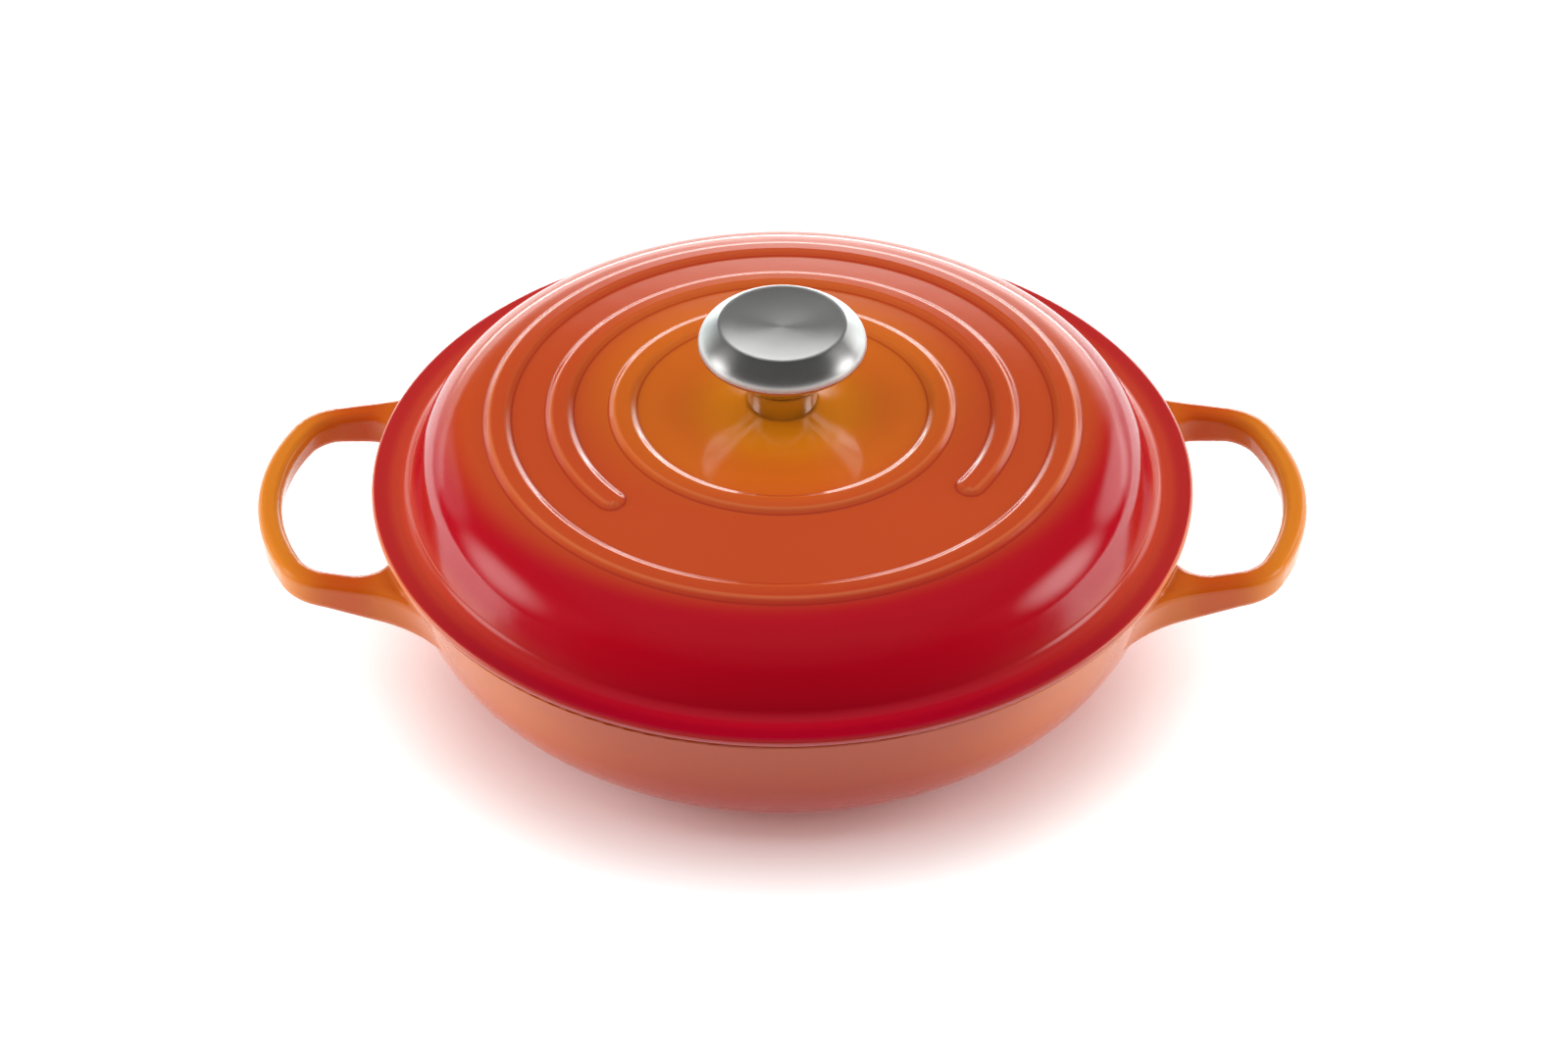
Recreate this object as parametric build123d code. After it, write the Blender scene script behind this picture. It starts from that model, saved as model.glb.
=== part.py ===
from build123d import *
from math import atan, cos, degrees, radians, sin, sqrt, tan
import os

# Round shallow casserole with a domed lid: enamelled cast iron, and a steel knob held by a screw.
# Millimetres, +Z up. The origin is at the centre of the underside, and the handles point along X.

# Pan
rim_outer_radius = 153.6
rim_height = 70.0
rim_width = 6.0
rim_rounding = 1.4
pan_wall = 3.6
pan_floor = 4.2
wall_slope = 20.0
belly_radius = 55.0
rim_blend = 9.0
foot_height = 1.2
foot_width = 6.0
foot_inset = 1.0

# Loop handles
handle_overhang = 45.2
handle_half_width = 53.3
handle_drop = 4.0
handle_thickness = 13.0
handle_draft = 1.0
arm_splay = 11.8
arm_fall = 9.6
tip_level_share = 0.593
fall_blend = 40.0
blank_depth = 26.5
bar_width = 9.8
tip_radius = 92.0
corner_share = 0.5088
gap_corner_share = 0.3319
root_share = 0.7743
gap_root_share = 0.2655
root_sink = 0.25
root_blend = 2.5
blend_reach = 0.02
hub_depth = 14.0
handle_top_rounding = 3.2
handle_bottom_rounding = 3.8
level_share = 0.9
seam_share = 0.99
edge_shares = [0.1, 0.3, 0.5, 0.7, 0.9]

# Lid
seat_gap = 0.3
lid_wall = 3.2
flange_overhang = 1.4
flange_thickness = 3.6
flange_edge = 1.7
gutter_depth = 1.0
rib_clearance = 2.0
rib_depth = 4.0
rib_rounding = 1.2
gutter_width = 13.2
dome_slope = 66.0
dome_height = 26.2
shoulder_radius = 26.0
foot_blend = 5.0
crown_rise = 8.2
well_radius = 30.0
boss_radius = 14.0
boss_rise = 2.6
boss_rounding = 1.2

# Raised rings on the lid
ring_shares = [0.6897, 0.5387, 0.3858]
ring_top_width = 7.2
ring_foot_width = 11.0
ring_height = 1.8
ring_rounding = 1.2
ring_sink = 0.8
broken_ring = 1
break_start = -139.0
break_end = -34.0

# Knob
knob_radius = 31.4
knob_height = 35.8
knob_sheet = 1.2
knob_seam_height = 26.5
neck_bottom_radius = 13.0
neck_top_radius = 13.6
neck_height = 10.0
neck_blend = 4.0
neck_brim = 0.9
cap_brim = 0.7
brim_rounding = 1.4
face_radius = 23.4
face_lip = 0.9
lip_rounding = 0.3
dish_depth = 2.3

# Knob's fastening
insert_clearance = 0.05
insert_height = 10.0
screw_radius = 3.0
screw_clearance = 0.6
screw_head_radius = 6.0
screw_head_height = 3.4
screw_head_rounding = 1.6
screw_tip_chamfer = 0.6
slot_width = 1.6
slot_depth = 1.5
thread_clearance = 0.05
thread_depth = 7.0
thread_spare = 1.0
washer_radius = 8.5
washer_thickness = 1.2
washer_clearance = 0.3
washer_rounding = 0.3

# Worked-out places
slope_run = tan(radians(wall_slope))
handle_reach = rim_outer_radius + handle_overhang
fall_start = handle_reach - tip_level_share * handle_overhang
corner_radius = corner_share * handle_overhang
gap_corner_radius = gap_corner_share * handle_overhang
root_radius = root_share * handle_overhang
gap_root_radius = gap_root_share * handle_overhang
flange_radius = rim_outer_radius + flange_overhang
dome_foot_radius = flange_radius - gutter_width
seat_level = rim_height + seat_gap
dome_foot_level = seat_level + flange_thickness - gutter_depth
shoulder_level = dome_foot_level + dome_height
dome_run = tan(radians(dome_slope))
shoulder_corner_radius = dome_foot_radius - dome_height / dome_run
well_level = shoulder_level + crown_rise
lid_underside = well_level - lid_wall
boss_level = well_level + boss_rise
rim_inner_radius = rim_outer_radius - rim_width
rib_outer_radius = rim_inner_radius - rib_clearance


def revolved(corners, roundings):
    """Solid turned round the Z axis from the corners (radius, height) of its section."""
    with BuildPart() as turned:
        with BuildSketch(Plane.XZ):
            with BuildLine():
                FilletPolyline(*corners, radius=roundings, close=True)
            make_face()
        revolve(axis=Axis.Z)
    return turned.part


def wall_radius(height):
    """Outside radius of the pan's sloping wall at a height."""
    return rim_outer_radius - (rim_height - height) * slope_run


def pan_shell():
    """Outside of the pan as a solid, with its foot ring."""
    foot_outer = belly_start_radius() - foot_inset
    corners = [
        (0, foot_height),
        (foot_outer - foot_width, foot_height),
        (foot_outer - foot_width, 0),
        (foot_outer, 0),
        (foot_outer, foot_height),
        (wall_radius(foot_height), foot_height),
        (rim_outer_radius, rim_height),
        (0, rim_height),
    ]
    return revolved(corners, [0, 0, 0, 0, 0, belly_radius, rim_rounding, 0])


def belly_start_radius():
    """Radius where the flat underside turns into the round belly."""
    turn = radians(90 - wall_slope)
    return wall_radius(foot_height) - belly_radius * tan(turn / 2)


def pan_cavity():
    """Inside of the pan, open upwards."""
    inner_shift = pan_wall / cos(radians(wall_slope))
    floor_level = foot_height + pan_floor
    upright_level = rim_height - (rim_width - inner_shift) / slope_run
    corners = [
        (0, floor_level),
        (wall_radius(floor_level) - inner_shift, floor_level),
        (rim_inner_radius, upright_level),
        (rim_inner_radius, rim_height + belly_radius),
        (0, rim_height + belly_radius),
    ]
    return revolved(corners, [0, belly_radius - pan_wall, rim_blend, 0, 0])


def arm_line(inset, hub):
    """Ends of an arm's side, an inset from the outer side: at the tip arc and at the hub circle."""
    splay = radians(arm_splay)
    tip_centre = handle_reach - tip_radius
    outer_corner = tip_centre + sqrt(tip_radius**2 - handle_half_width**2)
    offset = outer_corner * sin(splay) + handle_half_width * cos(splay) - inset
    from_tip = offset - tip_centre * sin(splay)
    along_tip = sqrt((tip_radius - inset) ** 2 - from_tip**2)
    along_hub = sqrt(hub**2 - offset**2)
    tip_end = (
        tip_centre + from_tip * sin(splay) + along_tip * cos(splay),
        from_tip * cos(splay) - along_tip * sin(splay),
    )
    hub_end = (
        offset * sin(splay) + along_hub * cos(splay),
        offset * cos(splay) - along_hub * sin(splay),
    )
    return tip_end, hub_end


def mirrored(point):
    """The same point on the other side of the X axis."""
    return (point[0], -point[1])


def handle_outline(height, inset):
    """Plan of the handle's outer side at a height, with its hub inside the pan's wall."""
    hub = wall_radius(height) - root_sink
    tip_end, hub_end = arm_line(inset, hub)
    span = atan(hub_end[1] / hub_end[0]) + root_radius / hub
    back = hub - hub_depth
    hub_stop = (hub * cos(span), hub * sin(span))
    back_stop = (back * cos(span), back * sin(span))
    half = (span + atan(hub_end[1] / hub_end[0])) / 2
    with BuildSketch(Plane.XY.offset(height)) as plan:
        with BuildLine():
            ThreePointArc(mirrored(tip_end), (handle_reach - inset, 0), tip_end)
            Line(tip_end, hub_end)
            ThreePointArc(hub_end, (hub * cos(half), hub * sin(half)), hub_stop)
            Line(hub_stop, back_stop)
            ThreePointArc(back_stop, (back, 0), mirrored(back_stop))
            Line(mirrored(back_stop), mirrored(hub_stop))
            ThreePointArc(mirrored(hub_stop), (hub * cos(half), -hub * sin(half)), mirrored(hub_end))
            Line(mirrored(hub_end), mirrored(tip_end))
        make_face()
        for corner in (tip_end, mirrored(tip_end)):
            fillet(plan.vertices().sort_by_distance(corner)[0], corner_radius - inset)
        for corner in (hub_end, mirrored(hub_end)):
            fillet(plan.vertices().sort_by_distance(corner)[0], root_radius + inset)
    return plan.sketch


def gap_outline(height, inset):
    """Plan of the finger gap at a height."""
    hub = wall_radius(height) - root_sink
    tip_end, hub_end = arm_line(bar_width - inset, hub)
    with BuildSketch(Plane.XY.offset(height)) as plan:
        with BuildLine():
            ThreePointArc(mirrored(tip_end), (handle_reach - bar_width + inset, 0), tip_end)
            Line(tip_end, hub_end)
            ThreePointArc(hub_end, (hub, 0), mirrored(hub_end))
            Line(mirrored(hub_end), mirrored(tip_end))
        make_face()
        for corner in (tip_end, mirrored(tip_end)):
            fillet(plan.vertices().sort_by_distance(corner)[0], gap_corner_radius + inset)
        for corner in (hub_end, mirrored(hub_end)):
            fillet(plan.vertices().sort_by_distance(corner)[0], gap_root_radius + inset)
    return plan.sketch


def space_below():
    """Space under the handle: level below its tip, then falling towards the pan's wall."""
    level = rim_height - handle_drop - handle_thickness
    corners = [
        (2 * handle_reach, level),
        (fall_start, level),
        (0, level - fall_start * tan(radians(arm_fall))),
        (0, -rim_height),
        (2 * handle_reach, -rim_height),
    ]
    with BuildPart() as space:
        with BuildSketch(Plane.XZ):
            with BuildLine():
                FilletPolyline(*corners, radius=[0, fall_blend, 0, 0, 0], close=True)
            make_face()
        extrude(amount=handle_reach, both=True)
    return space.part


def shows(edge):
    """Whether an edge of the handle's rim is one that a hand meets, and not a seam or buried in the wall."""
    place, way = edge @ 0.5, edge % 0.5
    turning = abs(way.X * place.Y - way.Y * place.X)
    outside = sqrt(place.X**2 + place.Y**2) > wall_radius(place.Z) - hub_depth / 2
    return outside and turning > root_sink and abs(way.Y) < seam_share


def handle():
    """One loop handle on the +X side, still running into the pan's wall."""
    top = rim_height - handle_drop
    bottom = top - blank_depth
    inset = handle_draft * blank_depth / handle_thickness
    outer = loft([handle_outline(bottom, inset), handle_outline(top, 0)], ruled=True)
    gap = loft([gap_outline(bottom, inset), gap_outline(top, 0)], ruled=True)
    loop = outer - gap - space_below()
    for facing, rounding in ((1, handle_top_rounding), (-1, handle_bottom_rounding)):
        level = [face for face in loop.faces() if facing * face.normal_at().Z > level_share]
        loop = fillet([edge for face in level for edge in face.edges() if shows(edge)], rounding)
    return loop


def meets_wall(edge):
    """Whether an edge of the cast pan is one where a handle runs into the wall."""
    places = [edge @ share for share in edge_shares]
    off_wall = max(abs(sqrt(place.X**2 + place.Y**2) - wall_radius(place.Z)) for place in places)
    across = min(abs(place.Y) for place in places) > blend_reach
    below_rim = max(place.Z for place in places) < rim_height - handle_drop / 2
    above_belly = min(place.Z for place in places) > rim_height - handle_drop - blank_depth
    return off_wall < blend_reach and across and below_rim and above_belly


def pan():
    """Cast pan with both loop handles."""
    loop = handle()
    casting = pan_shell() + loop + mirror(loop, about=Plane.YZ)
    casting = fillet([edge for edge in casting.edges() if meets_wall(edge)], root_blend)
    return casting - pan_cavity()


def underside_corner():
    """Corner of the lid's underside between its crown and its side, one wall inside the outer one."""
    crown_end = 2 * atan(crown_rise / (shoulder_corner_radius - well_radius))
    side = radians(dome_slope)
    lean = 1 - tan(crown_end) / dome_run
    across = (lid_wall / (cos(crown_end) * dome_run) - lid_wall / sin(side)) / lean
    down = -lid_wall / cos(crown_end) - across * tan(crown_end)
    return (shoulder_corner_radius + across, shoulder_level + down)


def crown_bend():
    """Radius of the crown's arc in section, level where the well begins."""
    run = shoulder_corner_radius - well_radius
    return (run**2 + crown_rise**2) / (2 * crown_rise)


def crown_level(radius):
    """Height of the lid's crown at a radius, where no ring lies."""
    bend = crown_bend()
    return well_level - bend + sqrt(bend**2 - (radius - well_radius) ** 2)


def rounded(section, corner, radius):
    """Rounds the corner of a section that lies nearest to a point."""
    fillet(section.vertices().sort_by_distance(corner)[0], radius)


def lid_shell():
    """Lid without its rings: flange, seating rib, dome, crown and boss as one turned casting."""
    rib_level = seat_level - rib_depth
    inner_corner = underside_corner()
    rib_inner_radius = inner_corner[0] + (inner_corner[1] - rib_level) / dome_run
    rib_inner = (rib_inner_radius, rib_level)
    rib_outer = (rib_outer_radius, rib_level)
    seat_inner = (rib_outer_radius, seat_level)
    flange_low = (flange_radius, seat_level)
    flange_high = (flange_radius, seat_level + flange_thickness)
    foot = (dome_foot_radius, dome_foot_level)
    shoulder = (shoulder_corner_radius, shoulder_level)
    well = (well_radius, well_level)
    boss = (boss_radius, boss_level)
    with BuildPart() as casting:
        with BuildSketch(Plane.XZ) as section:
            with BuildLine():
                Line((0, lid_underside), (well_radius, lid_underside))
                TangentArc((well_radius, lid_underside), inner_corner, tangent=(1, 0))
                Polyline(inner_corner, rib_inner, rib_outer, seat_inner, flange_low, flange_high, foot, shoulder)
                TangentArc(well, shoulder, tangent=(1, 0))
                TangentArc(well, boss, tangent=(-1, 0))
                Polyline(boss, (0, boss_level), (0, lid_underside))
            make_face()
            rounded(section, inner_corner, shoulder_radius - lid_wall)
            rounded(section, rib_inner, rib_rounding)
            rounded(section, rib_outer, rib_rounding)
            rounded(section, flange_low, flange_edge)
            rounded(section, flange_high, flange_edge)
            rounded(section, foot, foot_blend)
            rounded(section, shoulder, shoulder_radius)
            rounded(section, boss, boss_rounding)
        revolve(axis=Axis.Z)
    return casting.part


def ring_section(radius):
    """Corners of a raised ring's section, its top parallel to the crown, and their roundings."""
    corners = []
    for share, lift in ((-1, 0), (-1, 1), (1, 1), (1, 0)):
        width = ring_top_width if lift else ring_foot_width
        place = radius + share * width / 2
        corners.append((place, crown_level(place) + (ring_height if lift else -ring_sink)))
    return corners, [0, ring_rounding, ring_rounding, 0]


def raised_ring(radius):
    """A raised ring that runs all the way round."""
    corners, roundings = ring_section(radius)
    return revolved(corners, roundings)


def ring_end(radius, angle):
    """Round end of a broken ring: a low turned stud that stands square to the crown."""
    corners = [
        (0, -ring_sink),
        (ring_foot_width / 2, -ring_sink),
        (ring_top_width / 2, ring_height),
        (0, ring_height),
    ]
    lean = atan((radius - well_radius) / (crown_level(radius) - crown_level(well_radius) + crown_bend()))
    place = Rotation(0, 0, angle) * Pos(radius, 0, crown_level(radius)) * Rotation(0, degrees(lean), 0)
    return place * revolved(corners, [0, 0, ring_rounding, 0])


def raised_arc(radius):
    """A raised ring that stays open between the two break angles, with round ends."""
    corners, roundings = ring_section(radius)
    with BuildPart() as band:
        with BuildSketch(Plane.XZ.rotated((0, 0, break_end))):
            with BuildLine():
                FilletPolyline(*corners, radius=roundings, close=True)
            make_face()
        revolve(axis=Axis.Z, revolution_arc=360 - (break_end - break_start))
    return band.part + ring_end(radius, break_start) + ring_end(radius, break_end)


def lid():
    """Cast lid with its raised rings and the hole for the knob's screw."""
    body = lid_shell()
    for number, share in enumerate(ring_shares):
        radius = share * flange_radius
        if number == broken_ring:
            body += raised_arc(radius)
        else:
            body += raised_ring(radius)
    hole = Cylinder(screw_radius + screw_clearance, 2 * boss_level)
    return body - hole


def knob_neck():
    """Knob's lower shell: neck and cone up to the seam at its widest circle."""
    seam = boss_level + knob_seam_height
    corners = [
        (neck_bottom_radius, boss_level),
        (neck_top_radius, boss_level + neck_height),
        (knob_radius, seam - neck_brim),
        (knob_radius, seam),
    ]
    with BuildPart() as shell:
        with BuildSketch(Plane.XZ):
            with BuildLine():
                line = FilletPolyline(*corners, radius=[neck_blend, brim_rounding])
                offset(line, amount=knob_sheet, side=Side.LEFT)
            make_face()
        revolve(axis=Axis.Z)
    return shell.part


def knob_cap():
    """Knob's upper shell: bevel, narrow lip and dished face."""
    seam = boss_level + knob_seam_height
    top = boss_level + knob_height
    lip_inner = (face_radius - face_lip, top)
    bevel_low = (knob_radius, seam + cap_brim)
    bevel_high = (face_radius, top)
    with BuildPart() as shell:
        with BuildSketch(Plane.XZ) as section:
            with BuildLine():
                Polyline((0, top - dish_depth), (0, seam), (knob_radius, seam), bevel_low, bevel_high, lip_inner)
                TangentArc((0, top - dish_depth), lip_inner, tangent=(1, 0))
            make_face()
            rounded(section, bevel_low, brim_rounding)
            rounded(section, bevel_high, lip_rounding)
            rounded(section, lip_inner, lip_rounding)
        revolve(axis=Axis.Z)
    ceiling = top - dish_depth - knob_sheet
    hollow = [(0, seam), (knob_radius - knob_sheet, seam), (face_radius - knob_sheet, ceiling), (0, ceiling)]
    return shell.part - revolved(hollow, [0, 0, 0, 0])


def neck_bore_radius(height):
    """Radius that the insert fills inside the straight part of the knob's neck."""
    lean = atan((neck_top_radius - neck_bottom_radius) / neck_height)
    return neck_bottom_radius + height * tan(lean) - knob_sheet / cos(lean) - insert_clearance


def knob_insert():
    """Threaded plug that fills the knob's neck and stands on the lid's boss."""
    bore = screw_radius + thread_clearance
    bore_end = boss_level + thread_depth + thread_spare
    corners = [
        (bore, boss_level),
        (neck_bore_radius(0), boss_level),
        (neck_bore_radius(insert_height), boss_level + insert_height),
        (0, boss_level + insert_height),
        (0, bore_end),
        (bore, bore_end),
    ]
    return revolved(corners, [0, 0, 0, 0, 0, 0])


def knob_screw():
    """Slotted screw that clamps the knob from under the lid."""
    seat = lid_underside - washer_thickness
    tip = boss_level + thread_depth
    corners = [
        (0, seat - screw_head_height),
        (screw_head_radius, seat - screw_head_height),
        (screw_head_radius, seat),
        (screw_radius, seat),
        (screw_radius, tip - screw_tip_chamfer),
        (screw_radius - screw_tip_chamfer, tip),
        (0, tip),
    ]
    slot = Pos(0, 0, seat - screw_head_height) * Box(2 * screw_head_radius, slot_width, 2 * slot_depth)
    return revolved(corners, [0, screw_head_rounding, 0, 0, 0, 0, 0]) - slot


def screw_washer():
    """Washer between the screw's head and the lid."""
    low = lid_underside - washer_thickness
    hole = screw_radius + washer_clearance
    corners = [(hole, low), (washer_radius, low), (washer_radius, lid_underside), (hole, lid_underside)]
    return revolved(corners, [0, washer_rounding, washer_rounding, 0])


def pieces():
    """Every piece of the object by its node's name."""
    return {
        "pan": pan(),
        "lid": lid(),
        "knob_neck": knob_neck(),
        "knob_cap": knob_cap(),
        "knob_insert": knob_insert(),
        "knob_screw": knob_screw(),
        "screw_washer": screw_washer(),
    }


if __name__ == "__main__":
    os.makedirs("parts", exist_ok=True)
    for name, piece in pieces().items():
        export_step(piece, f"parts/{name}.step")
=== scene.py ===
import math

import bmesh
import bpy
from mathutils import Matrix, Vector
from mathutils.geometry import interpolate_bezier


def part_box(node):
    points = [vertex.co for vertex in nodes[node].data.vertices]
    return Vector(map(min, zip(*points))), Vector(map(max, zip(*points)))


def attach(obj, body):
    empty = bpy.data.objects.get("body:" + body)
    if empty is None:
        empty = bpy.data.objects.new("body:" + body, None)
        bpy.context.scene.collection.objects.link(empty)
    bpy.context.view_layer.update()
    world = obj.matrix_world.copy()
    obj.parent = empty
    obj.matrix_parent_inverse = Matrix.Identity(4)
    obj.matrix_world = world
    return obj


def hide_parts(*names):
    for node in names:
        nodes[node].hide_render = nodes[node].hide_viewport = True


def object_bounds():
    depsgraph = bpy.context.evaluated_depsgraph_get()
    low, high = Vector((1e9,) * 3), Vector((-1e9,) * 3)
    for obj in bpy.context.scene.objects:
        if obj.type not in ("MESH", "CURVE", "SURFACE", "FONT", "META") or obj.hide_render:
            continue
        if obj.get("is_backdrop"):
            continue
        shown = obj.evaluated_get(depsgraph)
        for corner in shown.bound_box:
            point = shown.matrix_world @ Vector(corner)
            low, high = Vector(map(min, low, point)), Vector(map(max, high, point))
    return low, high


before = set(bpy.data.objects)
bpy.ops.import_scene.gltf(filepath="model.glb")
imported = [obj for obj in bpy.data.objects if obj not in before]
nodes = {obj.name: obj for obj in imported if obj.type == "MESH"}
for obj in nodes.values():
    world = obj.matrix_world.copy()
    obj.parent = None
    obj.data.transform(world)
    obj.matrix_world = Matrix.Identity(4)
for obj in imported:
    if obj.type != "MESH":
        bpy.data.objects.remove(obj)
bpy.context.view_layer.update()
perMetre = 1000  # the sections below are in millimetres
print("frame loaded")


class Wire:
    # one value in a node tree, with ordinary arithmetic
    def __init__(self, tree, socket):
        self.tree = tree
        self.socket = socket

    def math(self, operation, *others):
        return build(self.tree, "ShaderNodeMath", {"operation": operation},
                     dict(enumerate((self,) + others)))

    def flipped(self, operation, other):
        # the other value comes first
        return build(self.tree, "ShaderNodeMath", {"operation": operation}, {0: other, 1: self})

    def __add__(self, other):
        return self.math("ADD", other)

    def __sub__(self, other):
        return self.math("SUBTRACT", other)

    def __rsub__(self, other):
        return self.flipped("SUBTRACT", other)

    def __mul__(self, other):
        return self.math("MULTIPLY", other)

    def __pow__(self, other):
        return self.math("POWER", other)

    def __rpow__(self, other):
        return self.flipped("POWER", other)

    __radd__ = __add__
    __rmul__ = __mul__

    def between(self, low, high, ease="SMOOTHERSTEP"):
        # 0 at low, 1 at high, smooth in between
        return build(self.tree, "ShaderNodeMapRange", {"interpolation_type": ease},
                     {"Value": self, "From Min": low, "From Max": high})


def build(tree, kind, settings=None, inputs=None, output=0):
    # one node of any type: its settings, then the values or links of its sockets
    node = tree.nodes.new(kind)
    for name, value in (settings or {}).items():
        setattr(node, name, value)
    for key, value in (inputs or {}).items():
        if isinstance(value, Wire):
            tree.links.new(value.socket, node.inputs[key])
        else:
            node.inputs[key].default_value = value
    return Wire(tree, node.outputs[output]) if node.outputs else None


def mixed(tree, factor, first, second):
    # colour first where the factor is 0, second where it is 1; a Mix node has its colours at
    # inputs 6 and 7 and output 2
    both = [colour if isinstance(colour, Wire) else (*colour, 1) for colour in (first, second)]
    return build(tree, "ShaderNodeMix", {"data_type": "RGBA"},
                 {0: factor, 6: both[0], 7: both[1]}, output=2)


def axes(tree, vector):
    return [build(tree, "ShaderNodeSeparateXYZ", {}, {0: vector}, output=axis)
            for axis in range(3)]


def noiseOf(tree, vector, scale, detail):
    return build(tree, "ShaderNodeTexNoise", {},
                 {"Vector": vector, "Scale": scale, "Detail": detail})


def bumpOf(tree, height, depth):
    return build(tree, "ShaderNodeBump", {}, {"Distance": depth, "Height": height})


def material(name):
    made = bpy.data.materials.new(name)
    made.use_nodes = True
    made.node_tree.nodes.clear()
    return made, made.node_tree


def finish(tree, inputs):
    shader = build(tree, "ShaderNodeBsdfPrincipled", {}, inputs)
    build(tree, "ShaderNodeOutputMaterial", {}, {"Surface": shader})


def place(tree):
    # where on the object, in its own coordinates
    return build(tree, "ShaderNodeTexCoord", output="Object")


def distance(x, y):
    return (x * x + y * y) ** 0.5


# enamel: thick clear gloss; its unevenness is fine ripples and broader, higher ones
enamelGloss = {"rough": 0.11, "ripple": 520.0, "fineDetail": 1.0, "broader": 5,
               "broadDetail": 0.0, "broadHigh": 4, "depth": 0.00001}


def ripples(tree, spot, gloss):
    # the slight unevenness that fired enamel keeps
    fine = noiseOf(tree, spot, gloss["ripple"], gloss["fineDetail"])
    broad = noiseOf(tree, spot, gloss["ripple"] / gloss["broader"], gloss["broadDetail"])
    return bumpOf(tree, fine + broad * gloss["broadHigh"], gloss["depth"])


# lid enamel: orange in the middle and further out at the back, red on the dome, crimson low in
# front and lighter low at the sides, which is painted light. It turns pale over the rings' edges
# and the flange's rim, partly glaze running thinly and partly a painted highlight, stronger at
# the sides;
# along the rings' feet it is darker, which is painted shade in the hollows.
# From and To name pairs of places between which a colour comes in or goes out: distances in
# metres, and for the hollow along the rings' feet shares of their height
lidEnamel = {
    "boss": (0.74, 0.220, 0.006),
    "disc": (0.55, 0.115, 0.010), "discFrom": (0.016, 0.044),
    "rings": (0.48, 0.062, 0.014), "ringsFrom": (0.050, 0.085),
    "dome": (0.40, 0.002, 0.010), "domeFrom": (0.114, 0.133),
    "gutter": (0.40, 0.003, 0.014), "gutterSide": (0.52, 0.050, 0.022),
    "gutterFrom": (0.137, 0.142),
    "flange": (0.33, 0.001, 0.013), "flangeSide": (0.45, 0.020, 0.018),
    "flangeFrom": (0.145, 0.151),
    "paintedLitSideFrom": (-0.145, -0.04), "shift": (-0.003, 0.012),
    "hollow": (0.28, 0.008, 0.008), "hollowShadeAmount": 0.5,
    "hollowFrom": (0.004, 0.06), "hollowTo": (0.30, 0.10),
    "edge": (0.80, 0.30, 0.11), "thinGlazeAndHighlight": 0.24,
    "rimPaleAndHighlightFrom": (0.1538, 0.1548), "rimPaleAndHighlightFront": 0.06, "rimPaleAndHighlightSide": 0.6,
}
enamelLid, tree = material("enamel_lid")
spot = place(tree)
x, y = axes(tree, spot)[:2]
radius = distance(x, y)
across = distance(x - lidEnamel["shift"][0], y - lidEnamel["shift"][1])
# painted light: 0 in front, 1 at the sides and back, where the enamel is painted lighter
paintedLitSide = y.between(*lidEnamel["paintedLitSideFrom"])
colour = mixed(tree, radius.between(*lidEnamel["discFrom"]), lidEnamel["boss"], lidEnamel["disc"])
colour = mixed(tree, across.between(*lidEnamel["ringsFrom"]), colour, lidEnamel["rings"])
colour = mixed(tree, across.between(*lidEnamel["domeFrom"]), colour, lidEnamel["dome"])
# painted light: gutter and flange crimson in front, lighter towards the sides
for part in ("gutter", "flange"):
    colour = mixed(tree, radius.between(*lidEnamel[part + "From"]), colour,
                   mixed(tree, paintedLitSide, lidEnamel[part], lidEnamel[part + "Side"]))
relief, edge = (build(tree, "ShaderNodeAttribute", {"attribute_name": name}, output="Fac")
                for name in ("relief", "edge"))
# painted shade: darker in the hollows along the rings' feet
hollow = relief.between(*lidEnamel["hollowFrom"]) * relief.between(*lidEnamel["hollowTo"])
colour = mixed(tree, hollow * lidEnamel["hollowShadeAmount"], colour, lidEnamel["hollow"])
# flange's rim pale: partly glaze running thinly, partly a painted highlight, much stronger at the
# sides than in front
rimPaleAndHighlight = radius.between(*lidEnamel["rimPaleAndHighlightFrom"]) * (
    paintedLitSide * (lidEnamel["rimPaleAndHighlightSide"] - lidEnamel["rimPaleAndHighlightFront"]) + lidEnamel["rimPaleAndHighlightFront"])
# ring edges pale: partly glaze running thinly, partly a painted highlight
colour = mixed(tree, edge * lidEnamel["thinGlazeAndHighlight"] + rimPaleAndHighlight, colour, lidEnamel["edge"])
finish(tree, {"Base Color": colour, "Roughness": enamelGloss["rough"],
              "Normal": ripples(tree, spot, enamelGloss)})

# pale speckled enamel inside, and the matt dark seat where lid and pan meet
liner = {"pale": (0.60, 0.53, 0.41), "speckled": (0.50, 0.43, 0.32), "specks": 900.0,
         "detail": 2.0, "speckFrom": (0.45, 0.75), "rough": 0.24}
seat = {"dark": (0.030, 0.026, 0.025), "worn": (0.055, 0.050, 0.047), "grain": 1500.0,
        "detail": 2.0, "depth": 0.00002, "rough": 0.55}


def linerColour(tree, spot):
    speck = noiseOf(tree, spot, liner["specks"], liner["detail"])
    return mixed(tree, speck.between(*liner["speckFrom"]), liner["pale"], liner["speckled"])


def seatColour(tree, spot):
    grain = noiseOf(tree, spot, seat["grain"], seat["detail"])
    return mixed(tree, grain, seat["dark"], seat["worn"]), grain


enamelInside, tree = material("enamel_inside")
spot = place(tree)
finish(tree, {"Base Color": linerColour(tree, spot), "Roughness": liner["rough"],
              "Normal": ripples(tree, spot, enamelGloss)})

seatEnamel, tree = material("enamel_seat")
colour, grain = seatColour(tree, place(tree))
finish(tree, {"Base Color": colour, "Roughness": seat["rough"],
              "Normal": bumpOf(tree, grain, seat["depth"])})
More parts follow.
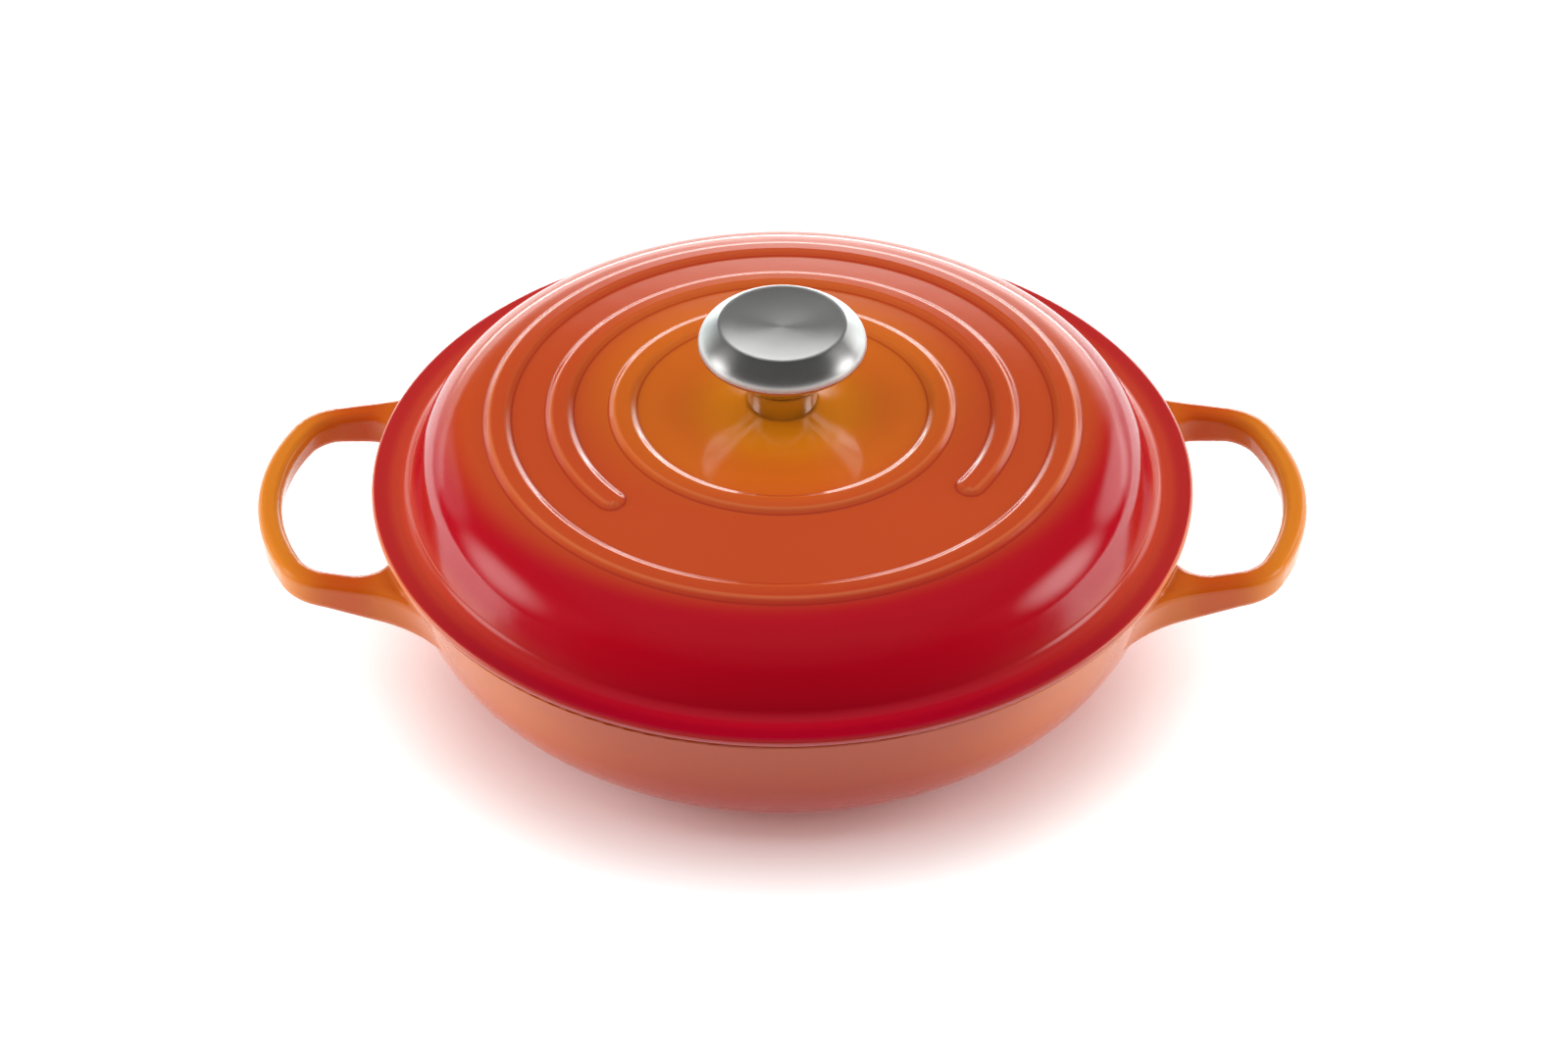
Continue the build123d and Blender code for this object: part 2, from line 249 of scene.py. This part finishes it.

# pan enamel: darker low down; darker in front and lighter, more orange at the sides, which is
# painted light; darker still all round at the very foot, painted shade where it meets the floor;
# orange on the handles, with a painted highlight turning them brighter and yellower towards the
# tips; pale inside, dark on the rim's seat. The inside is told by a skin halfway through the
# wall, which is a cone above, a round belly below and then the floor; all in metres, the lean in
# degrees
panEnamel = {
    "top": (0.36, 0.040, 0.005), "topSide": (0.53, 0.106, 0.010),
    "base": (0.30, 0.013, 0.014), "baseSide": (0.45, 0.055, 0.016), "baseFrom": (0.06, 0.01),
    "under": (0.30, 0.010, 0.008), "footShadeFrom": (0.012, 0.003), "paintedLitSideFrom": (-0.150, -0.095),
    "handle": (0.50, 0.072, 0.006), "handleFrom": (0.148, 0.160),
    "tipsHighlight": (0.62, 0.185, 0.016), "tipsHighlightFrom": (0.162, 0.192), "shine": 0.28,
    "coneRadius": 0.1517, "coneHigh": 0.070, "coneLean": 20.0,
    "bellyRadius": 0.0532, "bellyFrom": 0.0900, "bellyHigh": 0.0562,
    "floor": 0.0033, "meet": 0.0374, "overlap": 0.00001,
    "seatHigh": 0.0694, "seatIn": 0.1472, "seatOut": 0.1512,
}
enamelPan, tree = material("enamel_pan")
spot = place(tree)
x, y, z = axes(tree, spot)
radius = distance(x, y)
low = z.between(*panEnamel["baseFrom"])
# painted light: darker in front, lighter and more orange at the sides
colour = mixed(tree, y.between(*panEnamel["paintedLitSideFrom"]),
               mixed(tree, low, panEnamel["top"], panEnamel["base"]),
               mixed(tree, low, panEnamel["topSide"], panEnamel["baseSide"]))
# painted shade: darker at the very foot, where the pan meets the floor
colour = mixed(tree, z.between(*panEnamel["footShadeFrom"]), colour, panEnamel["under"])
outward = x.math("ABSOLUTE")
# painted highlight: the handles brighter and yellower towards their tips
handle = mixed(tree, outward.between(*panEnamel["tipsHighlightFrom"]), panEnamel["handle"],
               panEnamel["tipsHighlight"])
colour = mixed(tree, outward.between(*panEnamel["handleFrom"]), colour, handle)
lean = math.tan(math.radians(panEnamel["coneLean"]))
cone = radius - (panEnamel["coneRadius"] - (panEnamel["coneHigh"] - z) * lean)
belly = (distance(radius - panEnamel["bellyFrom"], z - panEnamel["bellyHigh"])
         - panEnamel["bellyRadius"])
below = z.math("LESS_THAN", panEnamel["meet"] + panEnamel["overlap"])
inCone = cone.math("LESS_THAN", 0.0) * z.math("GREATER_THAN", panEnamel["meet"])
inBelly = (belly.math("LESS_THAN", 0.0) * below
           * radius.math("GREATER_THAN", panEnamel["bellyFrom"]))
onFloor = (z.math("GREATER_THAN", panEnamel["floor"]) * below
           * radius.math("LESS_THAN", panEnamel["bellyFrom"] + panEnamel["overlap"]))
within = (inCone + inBelly + onFloor).math("MINIMUM", 1.0)
onSeat = (z.math("GREATER_THAN", panEnamel["seatHigh"])
          * radius.math("GREATER_THAN", panEnamel["seatIn"])
          * radius.math("LESS_THAN", panEnamel["seatOut"]))
colour = mixed(tree, within, colour, linerColour(tree, spot))
colour = mixed(tree, onSeat, colour, seatColour(tree, spot)[0])
rough = (onSeat * (seat["rough"] - liner["rough"])
         + within * (liner["rough"] - enamelGloss["rough"]) + enamelGloss["rough"])
finish(tree, {"Base Color": colour, "Roughness": rough, "Specular IOR Level": panEnamel["shine"],
              "Normal": ripples(tree, spot, enamelGloss)})

# metals turned round the axis: the knob's face is brushed, its neck smoother, its plug brass
faceSteel = {"colour": (0.63, 0.618, 0.607), "rough": 0.35, "varies": 0.12, "lines": 4200.0,
             "depth": 0.000004, "stretch": 0.75, "turn": 0.25}
neckSteel = {"colour": (0.63, 0.618, 0.607), "rough": 0.13, "varies": 0.06, "lines": 900.0,
             "depth": 0.000004, "stretch": 0.0, "turn": 0.0}
plugBrass = {"colour": (0.72, 0.52, 0.24), "rough": 0.325, "varies": 0.15, "lines": 3000.0,
             "depth": 0.00001, "stretch": 0.0, "turn": 0.0}
grooveDetail = 2.0


def turnedMetal(name, metal):
    # fine grooves round the axis, some rougher than others
    made, tree = material(name)
    x, y, z = axes(tree, place(tree))
    along = build(tree, "ShaderNodeCombineXYZ", {}, {"X": distance(x, y), "Y": z})
    groove = noiseOf(tree, along, metal["lines"], grooveDetail)
    finish(tree, {"Base Color": (*metal["colour"], 1), "Metallic": 1.0,
                  "Roughness": groove * metal["varies"] + (metal["rough"] - metal["varies"] / 2),
                  "Normal": bumpOf(tree, groove, metal["depth"]),
                  "Anisotropic": metal["stretch"], "Anisotropic Rotation": metal["turn"]})
    return made


steel = turnedMetal("steel_brushed", faceSteel)
polished = turnedMetal("steel_polished", neckSteel)
brassy = turnedMetal("brass_turned", plugBrass)

# zinc plating of screw and washer, clouded in places
zinc = {"clouded": (0.50, 0.49, 0.47), "clear": (0.62, 0.61, 0.60), "clouds": 600.0,
        "detail": 3.0, "rough": 0.25, "varies": 0.2}
plated, tree = material("steel_plated")
haze = noiseOf(tree, place(tree), zinc["clouds"], zinc["detail"])
finish(tree, {"Base Color": mixed(tree, haze, zinc["clouded"], zinc["clear"]), "Metallic": 1.0,
              "Roughness": haze * zinc["varies"] + zinc["rough"]})

looks = {
    "pan": (enamelPan, "pan_enamel"), "lid": (enamelLid, "lid_enamel"),
    "knob_cap": (steel, "knob_steel"), "knob_neck": (polished, "knob_steel"),
    "knob_insert": (brassy, "insert_brass"), "knob_screw": (plated, "fastener_steel"),
    "screw_washer": (plated, "fastener_steel"),
}
for name, (finishOf, slotOf) in looks.items():
    piece = nodes[name]
    piece.data.materials.clear()
    piece.data.materials.append(finishOf)
print("materials made")


def added(name, data):
    made = bpy.data.objects.new(name, data)
    bpy.context.scene.collection.objects.link(made)
    return made


def triangles(piece):
    return sum(len(face.vertices) - 2 for face in piece.data.polygons)


def arcBetween(centre, radius, start, end, steps):
    # points on a circle of the section, from one angle to another
    angles = [start + (end - start) * n / steps for n in range(steps + 1)]
    return [(centre[0] + radius * math.cos(angle), centre[1] + radius * math.sin(angle))
            for angle in angles]


def eased(before, corner, after, radius, steps):
    # a corner of the section rounded by an arc
    into = Vector((before[0] - corner[0], before[1] - corner[1])).normalized()
    out = Vector((after[0] - corner[0], after[1] - corner[1])).normalized()
    half = into.angle(out) / 2
    centre = Vector(corner) + (into + out).normalized() * radius / math.sin(half)
    start = Vector(corner) + into * radius / math.tan(half) - centre
    end = Vector(corner) + out * radius / math.tan(half) - centre
    first, last = math.atan2(start.y, start.x), math.atan2(end.y, end.x)
    if last - first > math.pi:
        last -= 2 * math.pi
    if first - last > math.pi:
        last += 2 * math.pi
    return arcBetween(centre, radius, first, last, steps)


# lid section in millimetres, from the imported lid's own height; slope and sharp are in degrees,
# steps are how finely each arc is divided. The crown and its underside, the vault, get a point
# at each radius of a range
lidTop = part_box("lid")[1].z * perMetre
lidForm = {
    "hole": 3.6, "bossInner": 8.0, "bossRadius": 14.0, "bossRound": 1.2, "bossSteps": 5,
    "wellDepth": 2.6, "wellRadius": 30.0, "wellSteps": 18, "rise": 8.2, "wall": 3.2,
    "domeFoot": 141.8, "domeHeight": 26.2, "slope": 66.0, "shoulder": 26.0, "shoulderSteps": 24,
    "footRound": 5.0, "footSteps": 12, "gutter": 1.0, "flange": 3.6, "flangeRadius": 155.0,
    "edge": 1.7, "edgeSteps": (10, 8), "seatFrom": 4.5, "ribOut": 145.6, "ribDeep": 4.0,
    "ribRound": 1.2, "ribSteps": 6, "vaultSteps": 14, "underInner": 10.0,
    "crownRange": (30, 122, 4), "vaultRange": (30, 122, 8), "turns": 464, "sharp": 40.0,
}
# raised rings: radii, the open one's number and gap in degrees, half widths of top and foot,
# height, and how densely the crown is divided across them. The enamel on them is palest near the
# edge of the top, in shares of their height, and more so on the outer side: partly glaze running
# thinly, partly a painted highlight
rings = {
    "radii": (106.9, 83.5, 59.8), "open": 1, "gapFrom": -139.0, "gapTo": -34.0,
    "top": 2.3, "foot": 6.0, "high": 1.75, "step": 0.6, "margin": 6.6, "clear": 1.0,
    "paleFrom": (0.50, 0.88), "paleTo": (1.0, 0.97), "paleInner": 0.3, "paleOuter": 1.0,
}


def crownPoint(centre, bend, radius):
    return (radius, centre[1] + math.sqrt(bend ** 2 - (radius - centre[0]) ** 2))


def crownInto(radii, centre, bend, base, slope, roll, steps):
    # from the crown's arc, through a rolling corner, to a steep straight side that ends at base
    inward = Vector((-math.sin(slope), -math.cos(slope)))
    along = Vector((-math.cos(slope), math.sin(slope)))
    onLine = Vector(base) + inward * roll
    gap = onLine - Vector(centre)
    reach = math.sqrt(gap.dot(along) ** 2 - gap.dot(gap) + (bend - roll) ** 2)
    middle = onLine + along * (-gap.dot(along) + reach)
    top = math.atan2(middle.y - centre[1], middle.x - centre[0])
    stop = centre[0] + bend * math.cos(top)
    crown = [crownPoint(centre, bend, radius) for radius in radii if radius < stop]
    return crown + arcBetween(middle, roll, top, math.pi / 2 - slope, steps)


def bendOf(span, rise):
    # radius of the arc that is level at one end and rises that much over the span
    return (span ** 2 + rise ** 2) / (2 * rise)


def lidSection(form, crownRadii):
    # the whole closed section: upper side from the hole outwards, then the underside back to it
    slope, wall = math.radians(form["slope"]), form["wall"]
    wellRadius, well = form["wellRadius"], lidTop - form["wellDepth"]
    shoulder = well - form["rise"]
    base = (form["domeFoot"], shoulder - form["domeHeight"])
    seatHigh = base[1] + form["gutter"] - form["flange"]
    corner = base[0] - form["domeHeight"] / math.tan(slope)
    run = corner - wellRadius
    bend = bendOf(run, form["rise"])
    flareRun = wellRadius - form["bossRadius"]
    flareBend = bendOf(flareRun, form["wellDepth"])
    turn = math.asin(flareRun / flareBend)
    flare = arcBetween((wellRadius, well + flareBend), flareBend, -math.pi / 2 - turn,
                       -math.pi / 2, form["wellSteps"])[2:]  # the rounded boss covers its start
    high = (form["flangeRadius"], seatHigh + form["flange"])
    low = (form["flangeRadius"], seatHigh)
    upper = [(form["hole"], lidTop), (form["bossInner"], lidTop)]
    upper += eased((0, lidTop), (form["bossRadius"], lidTop), flare[0], form["bossRound"],
                   form["bossSteps"]) + flare[:-1]
    upper += crownInto(crownRadii, (wellRadius, well - bend), bend, base, slope,
                       form["shoulder"], form["shoulderSteps"])
    upper += eased(upper[-1], base, high, form["footRound"], form["footSteps"])
    upper += eased(base, high, low, form["edge"], form["edgeSteps"][0])
    upper += eased(high, low, (0, seatHigh), form["edge"], form["edgeSteps"][1])
    ribTop = (form["ribOut"], seatHigh)
    seating = [(form["flangeRadius"] - form["seatFrom"], seatHigh), ribTop]
    # the underside's corner stands a wall's thickness in from crown and dome
    crownEnd = 2 * math.atan(form["rise"] / run)
    lean = 1 - math.tan(crownEnd) / math.tan(slope)
    across = (wall / (math.cos(crownEnd) * math.tan(slope)) - wall / math.sin(slope)) / lean
    inner = (corner + across,
             shoulder - wall / math.cos(crownEnd) - across * math.tan(crownEnd))
    ribLow = seatHigh - form["ribDeep"]
    ribCorner = (form["ribOut"], ribLow)
    ribIn = (inner[0] + (inner[1] - ribLow) / math.tan(slope), ribLow)
    under = well - wall
    vaultBend = bendOf(inner[0] - wellRadius, under - inner[1])
    vault = crownInto(range(*form["vaultRange"]), (wellRadius, under - vaultBend), vaultBend,
                      ribIn, slope, form["shoulder"] - wall, form["vaultSteps"])
    beneath = eased(ribTop, ribCorner, ribIn, form["ribRound"], form["ribSteps"])
    beneath += eased(ribCorner, ribIn, vault[-1], form["ribRound"], form["ribSteps"])
    beneath += vault[::-1] + [(form["underInner"], under), (form["hole"], under)]
    return upper, seating, beneath


mergeWithin = 0.0000005  # metres, for points that fall together on the axis


def turnedMesh(name, parts, turns, finishes, marked):
    # closed section turned round the axis; each part of it keeps its finish, and one is marked
    line = [point for part in parts for point in part]
    owner = [number for number, part in enumerate(parts) for point in part]
    count = len(line)
    corners, faces = [], []
    for turn in range(turns):
        angle = 2 * math.pi * turn / turns
        corners += [(r / perMetre * math.cos(angle), r / perMetre * math.sin(angle),
                     z / perMetre) for r, z in line]
        here, there = turn * count, (turn + 1) % turns * count
        faces += [(here + n, there + n, there + (n + 1) % count, here + (n + 1) % count)
                  for n in range(count)]
    mesh = bpy.data.meshes.new(name)
    mesh.from_pydata(corners, [], faces)
    for made in finishes:
        mesh.materials.append(made)
    mesh.polygons.foreach_set("material_index", owner * turns)
    note = mesh.attributes.new("glazed", "FLOAT", "POINT")
    note.data.foreach_set("value", [float(own == marked) for own in owner] * turns)
    shape = bmesh.new()
    shape.from_mesh(mesh)
    bmesh.ops.remove_doubles(shape, verts=shape.verts, dist=mergeWithin)
    bmesh.ops.recalc_face_normals(shape, faces=shape.faces)
    shape.to_mesh(mesh)
    shape.free()
    mesh.shade_smooth()
    return added(name, mesh)


def socketOf(tree, name):
    return build(tree, "NodeGroupInput", output=name)


def stored(tree, geometry, name, value):
    return build(tree, "GeometryNodeStoreNamedAttribute",
                 {"data_type": "FLOAT", "domain": "POINT"},
                 {"Geometry": geometry, "Name": name, "Value": value})


def reliefTree(form):
    # raised rings pushed out of the glazed side, with soft feet; one stays open, with round ends
    tree = bpy.data.node_groups.new("raised_rings", "GeometryNodeTree")
    tree.interface.new_socket("Geometry", in_out="OUTPUT", socket_type="NodeSocketGeometry")
    tree.interface.new_socket("Geometry", in_out="INPUT", socket_type="NodeSocketGeometry")
    names = [f"Radius {number}" for number in range(len(form["radii"]))]
    for name in names + ["Half top", "Half foot", "Height", "Open from", "Open to"]:
        tree.interface.new_socket(name, in_out="INPUT", socket_type="NodeSocketFloat")
    tree.interface.new_socket("Finish", in_out="INPUT", socket_type="NodeSocketMaterial")
    x, y = axes(tree, build(tree, "GeometryNodeInputPosition"))[:2]
    radius = distance(x, y)
    angle = y.math("ARCTAN2", x)
    start, stop = socketOf(tree, "Open from"), socketOf(tree, "Open to")
    top, foot = socketOf(tree, "Half top"), socketOf(tree, "Half foot")
    lift = edge = None
    for number, name in enumerate(names):
        ring = socketOf(tree, name)
        away = (radius - ring).math("ABSOLUTE")
        if number == form["open"]:
            inGap = angle.math("GREATER_THAN", start) * angle.math("LESS_THAN", stop)
            ends = [distance(x - ring * end.math("COSINE"), y - ring * end.math("SINE"))
                    for end in (start, stop)]
            away = away * (1 - inGap) + ends[0].math("MINIMUM", ends[1]) * inGap
        raised = away.between(foot, top, "SMOOTHSTEP")
        # pale edge: partly glaze running thinly, partly a painted highlight, stronger on the
        # outer side
        side = (radius.math("GREATER_THAN", ring) * (form["paleOuter"] - form["paleInner"])
                + form["paleInner"])
        pale = raised.between(*form["paleFrom"]) * raised.between(*form["paleTo"]) * side
        lift = raised if lift is None else lift + raised
        edge = pale if edge is None else edge + pale
    glazed = build(tree, "GeometryNodeInputNamedAttribute", {"data_type": "FLOAT"},
                   {"Name": "glazed"})
    offset = build(tree, "ShaderNodeVectorMath", {"operation": "SCALE"},
                   {0: build(tree, "GeometryNodeInputNormal"),
                    "Scale": lift * glazed * socketOf(tree, "Height")})
    moved = build(tree, "GeometryNodeSetPosition", {},
                  {"Geometry": socketOf(tree, "Geometry"), "Offset": offset})
    kept = stored(tree, moved, "relief", lift * glazed)
    kept = stored(tree, kept, "edge", edge * glazed)
    real = build(tree, "GeometryNodeRealizeInstances", {}, {"Geometry": kept})
    ended = build(tree, "GeometryNodeSetMaterial", {},
                  {"Geometry": real, "Selection": glazed.math("GREATER_THAN", 0.5),
                   "Material": socketOf(tree, "Finish")})
    build(tree, "NodeGroupOutput", {}, {"Geometry": ended})
    return tree


def baked(piece, tree, values):
    # the evaluated result of a geometry tree as a plain piece, in place of what it was made from
    modifier = piece.modifiers.new("shape", "NODES")
    modifier.node_group = tree
    for item in tree.interface.items_tree:
        if item.in_out == "INPUT" and item.name in values:
            modifier[item.identifier] = values[item.name]
    bpy.context.view_layer.update()
    graph = bpy.context.evaluated_depsgraph_get()
    mesh = bpy.data.meshes.new_from_object(piece.evaluated_get(graph))
    name = piece.name
    bpy.data.objects.remove(piece)
    mesh.name = name
    mesh.shade_smooth()
    return added(name, mesh)


# the crown's points: close together across each ring, wide apart elsewhere
strips = round(2 * rings["margin"] / rings["step"])
dense = [ring - rings["margin"] + rings["step"] * n
         for ring in rings["radii"] for n in range(strips + 1)]
wide = [radius for radius in range(*lidForm["crownRange"])
        if all(abs(radius - ring) > rings["margin"] + rings["clear"] for ring in rings["radii"])]
casting = turnedMesh("lid_casting", lidSection(lidForm, sorted(dense + wide)), lidForm["turns"],
                     (enamelLid, seatEnamel, enamelInside), 0)
values = {f"Radius {number}": radius / perMetre for number, radius in enumerate(rings["radii"])}
values |= {"Half top": rings["top"] / perMetre, "Half foot": rings["foot"] / perMetre,
           "Height": rings["high"] / perMetre, "Open from": math.radians(rings["gapFrom"]),
           "Open to": math.radians(rings["gapTo"]), "Finish": enamelLid}
casting = baked(casting, reliefTree(rings), values)
casting.data.set_sharp_from_angle(angle=math.radians(lidForm["sharp"]))
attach(casting, "lid")
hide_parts("lid")
print("lid made with", triangles(casting), "triangles")


# knob's upper shell in millimetres, from its packed box: dished face, narrow lip, full bevel,
# round brim; fall and sharp are in degrees
capLow, capHigh = (corner.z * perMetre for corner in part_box("knob_cap"))
capForm = {
    "brim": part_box("knob_cap")[1].x * perMetre, "brimRise": 0.6, "face": 24.0, "dish": 1.4,
    "dishSteps": 40, "lip": 1.1, "lipRound": 0.9, "lipSteps": (5, 6), "sheet": 1.2,
    "fall": 32.0, "pull": 5.4, "round": 3.4, "bevelSteps": 28, "turns": 360, "sharp": 40.0,
}


def capSection(form):
    # closed section of the shell, upper side first; the rounded lip covers the last points of
    # the dish and the first of the bevel
    lip = form["face"] - form["lip"]
    bend = bendOf(lip, form["dish"])
    dish = arcBetween((0, capHigh - form["dish"] + bend), bend, -math.pi / 2,
                      -math.pi / 2 + math.asin(lip / bend), form["dishSteps"])
    fall = math.radians(form["fall"])
    first = Vector((form["face"], capHigh, 0))
    last = Vector((form["brim"], capLow + form["brimRise"], 0))
    leaving = first + Vector((math.cos(fall), -math.sin(fall), 0)) * form["pull"]
    arriving = last + Vector((0, form["round"], 0))
    curve = interpolate_bezier(first, leaving, arriving, last, form["bevelSteps"])
    bevel = [tuple(point.xy) for point in curve]
    upper = dish[:-2] + eased(dish[-3], dish[-1], first.xy, form["lipRound"],
                              form["lipSteps"][0])
    upper += eased(dish[-1], first.xy, bevel[4], form["lipRound"], form["lipSteps"][1])
    upper += bevel[3:]
    ceiling = capHigh - form["dish"] - form["sheet"]
    inside = [(form["brim"], capLow), (form["brim"] - form["sheet"], capLow),
              (form["face"] - form["sheet"], ceiling), (0, ceiling)]
    return upper, inside


cap = turnedMesh("knob_face", capSection(capForm), capForm["turns"], (steel, steel), None)
cap.data.set_sharp_from_angle(angle=math.radians(capForm["sharp"]))
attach(cap, "lid")
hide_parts("knob_cap")
print("knob face made with", triangles(cap), "triangles")


# studio, in metres: a pale floor that bends up behind and glows a little, more further out, and
# a room that is nearly dark near the floor and a little lighter above. The floor's glow is
# painted
# light: faint and red near the pan, as painted bounce light and shade round its foot, and
# brighter and cooler further out
studio = {
    "floor": (0.92, 0.95, 0.95), "rough": 0.9, "front": -3.0, "back": 2.4, "half": 4.5,
    "bend": 0.9, "bendSteps": 16, "high": 1.2,
    "near": (0.17, 0.07, 0.06), "far": (0.42, 0.52, 0.52), "farFrom": (0.118, 0.20),
    "air": 0.02, "above": 0.10, "aboveFrom": (0.35, 0.75),
}
floorPaint, tree = material("floor_paint")
x, y = axes(tree, place(tree))[:2]
# painted light: the floor glows, faint and red near the pan as painted bounce light and shade,
# brighter further out
glow = mixed(tree, distance(x, y).between(*studio["farFrom"]), studio["near"], studio["far"])
finish(tree, {"Base Color": (*studio["floor"], 1), "Roughness": studio["rough"],
              "Specular IOR Level": 0.0, "Emission Color": glow, "Emission Strength": 1.0})
line = [(studio["front"], 0.0), (studio["back"], 0.0)]
for step in range(1, studio["bendSteps"] + 1):
    turn = math.pi / 2 * step / studio["bendSteps"]
    line.append((studio["back"] + studio["bend"] * math.sin(turn),
                 studio["bend"] * (1 - math.cos(turn))))
line.append((studio["back"] + studio["bend"], studio["high"]))
corners = [(side * studio["half"], along, high) for along, high in line for side in (-1, 1)]
faces = [(2 * n, 2 * n + 1, 2 * n + 3, 2 * n + 2) for n in range(len(line) - 1)]
mesh = bpy.data.meshes.new("floor")
mesh.from_pydata(corners, [], faces)
mesh.materials.append(floorPaint)
mesh.shade_smooth()
floor = added("floor", mesh)
floor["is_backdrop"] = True

# soft boxes left, right, above and behind, in metres; height is that of the spot on the axis
# that a lamp points at. In shares of its size a lamp is bright from its middle to its core and
# fades out towards the border; where core is the border it doesn't fade. Gloss mirrors those seen
border = 0.5
lamps = {
    "box_left": {"at": (-1.6, 0.02, 0.56), "height": 0.15, "size": (1.4, 1.3), "watts": 17.5,
                 "core": 0.05, "seen": True},
    "box_right": {"at": (1.6, 0.02, 0.62), "height": 0.15, "size": (1.4, 1.3), "watts": 22.5,
                  "core": 0.05, "seen": True},
    "wing_left": {"at": (-1.35, 1.05, 0.60), "height": 0.15, "size": (1.3, 1.1), "watts": 3,
                  "core": 0.2, "seen": True},
    "wing_right": {"at": (1.35, 1.05, 0.60), "height": 0.15, "size": (1.3, 1.1), "watts": 8.5,
                   "core": 0.2, "seen": True},
    "box_back": {"at": (0.25, 2.0, 0.62), "height": 0.20, "size": (3.4, 1.5), "watts": 48,
                 "core": 0.0, "seen": True},
    "strip_back": {"at": (0.0, 1.95, 0.30), "height": 0.15, "size": (2.6, 0.14), "watts": 10,
                   "core": 0.3, "seen": True},
    "box_top": {"at": (0.0, 0.0, 2.6), "height": 0.0, "size": (3.6, 3.2), "watts": 62,
                "core": border, "seen": False},
    "fill_left": {"at": (-2.2, -0.1, 0.9), "height": 0.05, "size": (2.4, 1.5), "watts": 38,
                  "core": border, "seen": False},
    "fill_right": {"at": (2.2, -0.1, 0.9), "height": 0.05, "size": (2.4, 1.5), "watts": 25,
                   "core": border, "seen": False},
}


def softBox(name, lamp):
    # area lamp; most of them fade towards the border, as a lined box does
    data = bpy.data.lights.new(name, "AREA")
    data.shape = "RECTANGLE"
    data.size, data.size_y = lamp["size"]
    data.energy = lamp["watts"]
    if lamp["core"] < border:
        data.use_nodes = True
        tree = data.node_tree
        tree.nodes.clear()
        spot = build(tree, "ShaderNodeNewGeometry", output="Parametric")
        u, v = (axis - border for axis in axes(tree, spot)[:2])
        fading = distance(u, v).between(border, lamp["core"])
        emitted = build(tree, "ShaderNodeEmission", {}, {"Strength": fading})
        build(tree, "ShaderNodeOutputLight", {}, {"Surface": emitted})
    made = added(name, data)
    made.location = lamp["at"]
    aim = Vector((0, 0, lamp["height"])) - Vector(lamp["at"])
    made.rotation_euler = aim.to_track_quat("-Z", "Y").to_euler()
    made.visible_glossy = lamp["seen"]


for name, lamp in lamps.items():
    softBox(name, lamp)

world = bpy.data.worlds.new("studio_air")
bpy.context.scene.world = world
world.use_nodes = True
tree = world.node_tree
tree.nodes.clear()
up = axes(tree, build(tree, "ShaderNodeTexCoord", output="Generated"))[2]
light = up.between(*studio["aboveFrom"]) * studio["above"] + studio["air"]
air = build(tree, "ShaderNodeBackground", {}, {"Strength": light})
build(tree, "ShaderNodeOutputWorld", {}, {"Surface": air})

bpy.context.scene.view_settings.view_transform = "Standard"
bpy.context.scene.view_settings.look = "None"

# camera where the photograph was taken: metres, degrees, millimetres
shot = {"at": (-0.0011, -1.9021, 1.5488), "tilt": 51.794, "turn": -0.052, "lens": 146.34,
        "sensor": 36}
data = bpy.data.cameras.new("camera")
data.sensor_width = shot["sensor"]
data.lens = shot["lens"]
camera = added("camera", data)
camera.location = shot["at"]
camera.rotation_euler = (math.radians(shot["tilt"]), 0, math.radians(shot["turn"]))
bpy.context.scene.camera = camera
print("studio and camera set")

low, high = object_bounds()
